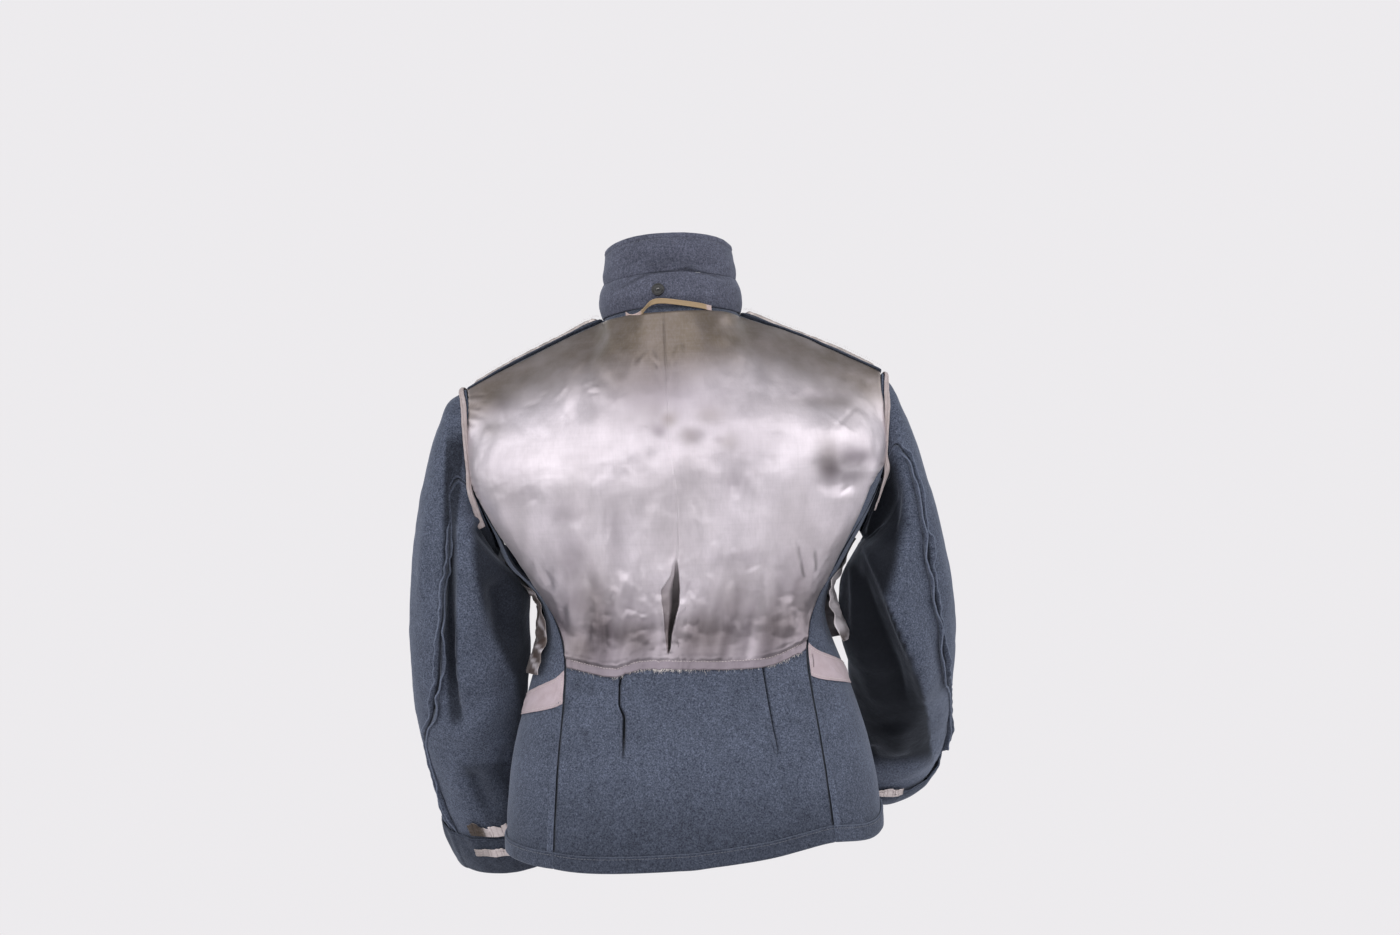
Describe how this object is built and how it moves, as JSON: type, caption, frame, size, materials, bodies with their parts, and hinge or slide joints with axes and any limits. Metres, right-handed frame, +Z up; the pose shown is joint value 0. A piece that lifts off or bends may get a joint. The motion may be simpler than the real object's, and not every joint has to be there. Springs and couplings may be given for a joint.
{
  "type": "military field blouse",
  "caption": "Short waisted wool uniform jacket worn inside out, with satin back lining, standing collar turned up and wide two-piece sleeves.",
  "frame": {"origin": "midway between the two points where the shoulder seams meet the collar, at shoulder height", "axes": "+Z up along the worn body, the front faces -Y and the back +Y, the wearer's left is +X"},
  "size_m": [0.5883, 0.3747, 0.6833],
  "materials": {
    "wool": "matte felted wool, melange",
    "wool_collar": "matte felted wool, melange",
    "satin_lining": "glossy worn satin",
    "cotton_tape": "plain twill tape",
    "tan_tape": "plain cotton tape",
    "button": "polished"
  },
  "bodies": {
    "root": {"armhole_binding_left": "cotton_tape", "armhole_binding_right": "cotton_tape", "back": "wool", "back_lining": "satin_lining", "collar_button": "button", "collar_fall": "wool_collar", "collar_stand": "wool_collar", "cuff_facing_left": "wool", "cuff_facing_right": "wool", "cuff_lining_left": "satin_lining", "cuff_lining_right": "satin_lining", "dart_left": "wool", "dart_right": "wool", "front_button_1": "button", "front_button_2": "button", "front_button_3": "button", "front_button_4": "button", "front_button_5": "button", "front_left": "wool", "front_lining_left": "satin_lining", "front_lining_right": "satin_lining", "front_right": "wool", "hanger_loop": "tan_tape", "seam_allowance_left": "wool", "seam_allowance_right": "wool", "sleeve_under_left": "wool", "sleeve_under_right": "wool", "sleeve_upper_left": "wool", "sleeve_upper_right": "wool", "waist_tape_left": "cotton_tape", "waist_tape_right": "cotton_tape"}
  },
  "joints": []
}
